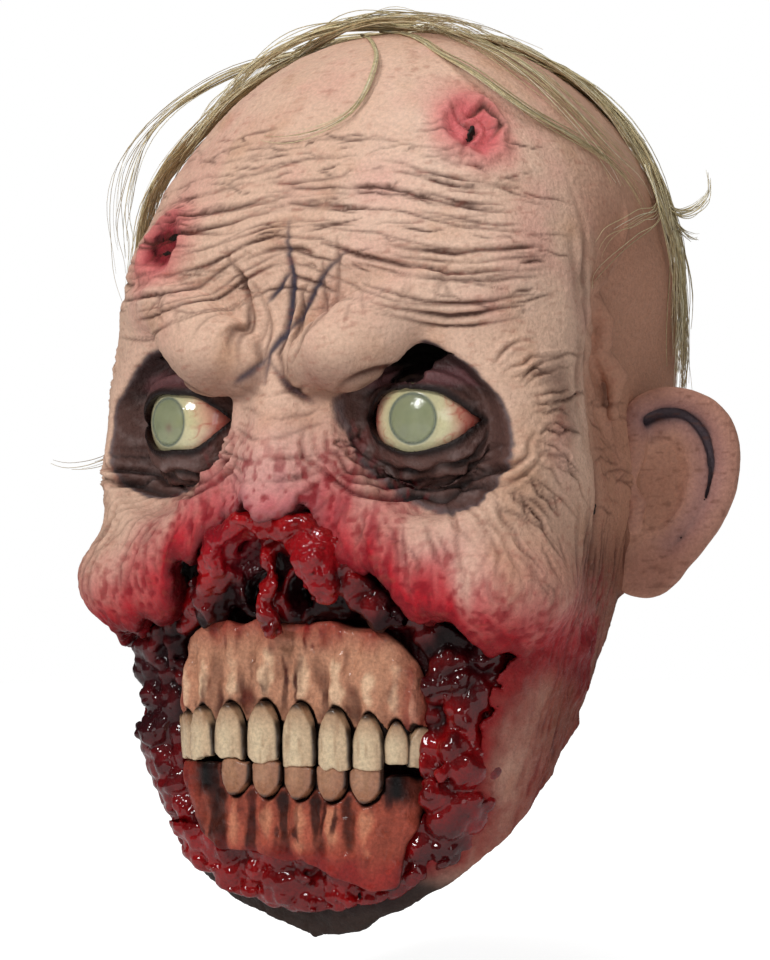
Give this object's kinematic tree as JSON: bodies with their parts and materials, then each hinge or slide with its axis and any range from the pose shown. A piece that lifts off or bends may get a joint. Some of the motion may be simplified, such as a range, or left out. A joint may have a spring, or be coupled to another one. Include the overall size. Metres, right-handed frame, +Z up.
{
  "type": "latex halloween mask",
  "caption": "Overhead latex ghoul mask with sunken cloudy eyes, view slits, missing nose, bared gums and teeth, raw flesh and sparse straw hair.",
  "frame": {"origin": "middle of the neck opening, on the head's midplane", "axes": "+X to the mask's own left, -Y the way the face looks, +Z up to the crown"},
  "size_m": [0.211, 0.1909, 0.2915],
  "materials": {
    "latex_skin": "matte, hand painted and washed",
    "latex_ear": "matte, hand painted and washed",
    "eye_white": "gloss varnish",
    "clouded_iris": "gloss varnish",
    "raw_flesh": "wet gloss varnish",
    "bare_gum": "satin varnish",
    "tooth_enamel": "satin varnish",
    "synthetic_hair": "dry synthetic fibre"
  },
  "bodies": {
    "root": {"head_skin": "latex_skin", "left_ear": "latex_ear", "right_ear": "latex_ear", "left_eye": "eye_white", "right_eye": "eye_white", "left_cornea": "clouded_iris", "right_cornea": "clouded_iris", "nose_flesh": "raw_flesh", "left_cheek_flesh": "raw_flesh", "right_cheek_flesh": "raw_flesh", "chin_flesh": "raw_flesh", "upper_gum": "bare_gum", "lower_gum": "bare_gum", "crown_hair": "synthetic_hair", "forehead_hair": "synthetic_hair", "left_hair": "synthetic_hair", "right_hair": "synthetic_hair", "back_hair": "synthetic_hair", "upper_tooth_1": "tooth_enamel", "upper_tooth_2": "tooth_enamel", "upper_tooth_3": "tooth_enamel", "upper_tooth_4": "tooth_enamel", "upper_tooth_5": "tooth_enamel", "upper_tooth_6": "tooth_enamel", "upper_tooth_7": "tooth_enamel", "upper_tooth_8": "tooth_enamel", "upper_tooth_9": "tooth_enamel", "upper_tooth_10": "tooth_enamel", "lower_tooth_1": "tooth_enamel", "lower_tooth_2": "tooth_enamel", "lower_tooth_3": "tooth_enamel", "lower_tooth_4": "tooth_enamel", "lower_tooth_5": "tooth_enamel"}
  },
  "joints": []
}
